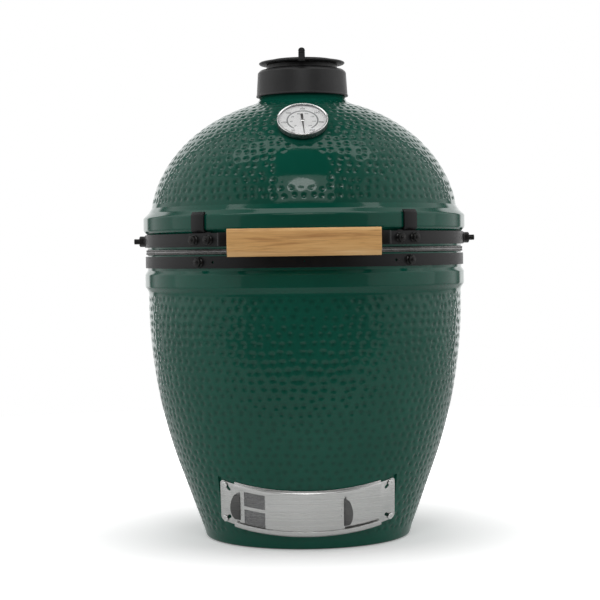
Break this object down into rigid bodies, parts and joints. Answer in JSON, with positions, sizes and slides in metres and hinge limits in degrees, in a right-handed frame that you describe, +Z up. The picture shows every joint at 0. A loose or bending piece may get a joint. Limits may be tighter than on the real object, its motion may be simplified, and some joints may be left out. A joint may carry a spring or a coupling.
{
  "type": "kamado ceramic grill",
  "caption": "Egg-shaped ceramic charcoal grill with a hinged dome, wooden handle, steel bands, thermometer, vent cap and sliding draft door.",
  "frame": {"origin": "centre of the flat foot, on the ground", "axes": "+Z up along the axis of the egg, -Y to the front where the handle, thermometer and draft door are, +X to the right as seen from the front"},
  "size_m": [0.584, 0.654, 0.8239],
  "materials": {
    "glaze": "gloss",
    "black_steel": "satin",
    "cap_metal": "satin",
    "felt": "matte",
    "stainless": "satin",
    "spring_steel": "satin",
    "bright_steel": "polished",
    "dial": "matte",
    "pointer": "satin",
    "lens": "gloss",
    "wood": "satin",
    "silicone": "matte",
    "fire_clay": "matte",
    "grate_iron": "matte"
  },
  "bodies": {
    "base": {"base_shell": "glaze", "base_gasket": "felt", "lower_band": "black_steel", "lower_band_bolt_left": "black_steel", "lower_band_bolt_right": "black_steel", "hinge_base_bracket": "black_steel", "hinge_base_bolt_left": "black_steel", "hinge_base_bolt_right": "black_steel", "hinge_pin": "black_steel", "hinge_pin_nut": "black_steel", "hinge_spring_left": "spring_steel", "hinge_spring_right": "spring_steel", "draft_frame": "stainless", "draft_screw_1": "stainless", "draft_screw_2": "stainless", "draft_screw_3": "stainless", "draft_screw_4": "stainless", "fire_box": "fire_clay", "fire_ring": "fire_clay", "charcoal_grate": "grate_iron"},
    "dome": {"dome_shell": "glaze", "dome_gasket": "felt", "upper_band": "black_steel", "hinge_dome_bracket": "black_steel", "hinge_dome_bolt_left": "black_steel", "hinge_dome_bolt_right": "black_steel", "handle_grip": "wood", "gauge_case": "bright_steel", "gauge_dial": "dial", "gauge_lens": "lens", "gauge_bezel": "bright_steel", "gauge_stem": "spring_steel", "gauge_clip": "spring_steel", "side_stud_left": "black_steel", "side_nut_left": "black_steel", "dome_clip_left": "black_steel", "handle_bracket_left": "black_steel", "handle_screw_left": "black_steel", "side_stud_right": "black_steel", "side_nut_right": "black_steel", "dome_clip_right": "black_steel", "handle_bracket_right": "black_steel", "handle_screw_right": "black_steel", "handle_bolt_left_1": "black_steel", "handle_bolt_left_2": "black_steel", "handle_bolt_right_1": "black_steel", "handle_bolt_right_2": "black_steel"},
    "pointer": {"gauge_pointer": "pointer"},
    "cap": {"cap_collar": "cap_metal", "cap_gasket": "felt", "cap_pivot_bolt": "bright_steel"},
    "cap_lid": {"cap_plate": "cap_metal", "damper_rivet": "bright_steel", "finger_tab": "silicone"},
    "damper": {"damper_wheel": "cap_metal"},
    "vent_slider": {"vent_door": "stainless"},
    "screen_slider": {"screen_door": "stainless", "screen_mesh_upper": "stainless", "screen_mesh_lower": "stainless"},
    "grid": {"cooking_grid": "stainless"}
  },
  "joints": [
    {"name": "dome_hinge", "type": "hinge", "parent": "base", "child": "dome", "pos_m": [0, 0.306, 0.487], "axis": [-1, 0, 0], "range_deg": [0, 75], "stiffness_Nm_per_rad": 18, "springref_deg": 148.97, "deforming": ["hinge_spring_left", "hinge_spring_right"]},
    {"name": "cap_lift", "type": "slide", "parent": "dome", "child": "cap", "axis": [0, 0, 1], "range_m": [0, 0.045]},
    {"name": "cap_plate_swing", "type": "hinge", "parent": "cap", "child": "cap_lid", "pos_m": [0, 0.062, 0.8055], "axis": [0, 0, 1], "range_deg": [0, 75]},
    {"name": "damper_wheel_turn", "type": "hinge", "parent": "cap_lid", "child": "damper", "pos_m": [0, 0, 0.8095], "axis": [0, 0, 1], "range_deg": [0, 30]},
    {"name": "gauge_pointer_turn", "type": "hinge", "parent": "dome", "child": "pointer", "pos_m": [0, -0.1805, 0.6875], "axis": [0, 0.6691, -0.7431], "range_deg": [0, 320], "stiffness_Nm_per_rad": 0.002},
    {"name": "vent_door_slide", "type": "hinge", "parent": "base", "child": "vent_slider", "pos_m": [0, 0, 0.1337], "axis": [0, -0.342, 0.9397], "range_deg": [0, 19.8]},
    {"name": "screen_door_slide", "type": "hinge", "parent": "base", "child": "screen_slider", "pos_m": [0, 0, 0.1337], "axis": [0, -0.342, 0.9397], "range_deg": [-4.2, 10.2]},
    {"name": "grid_lift", "type": "slide", "parent": "base", "child": "grid", "axis": [0, 0, 1], "range_m": [0, 0.028]}
  ]
}
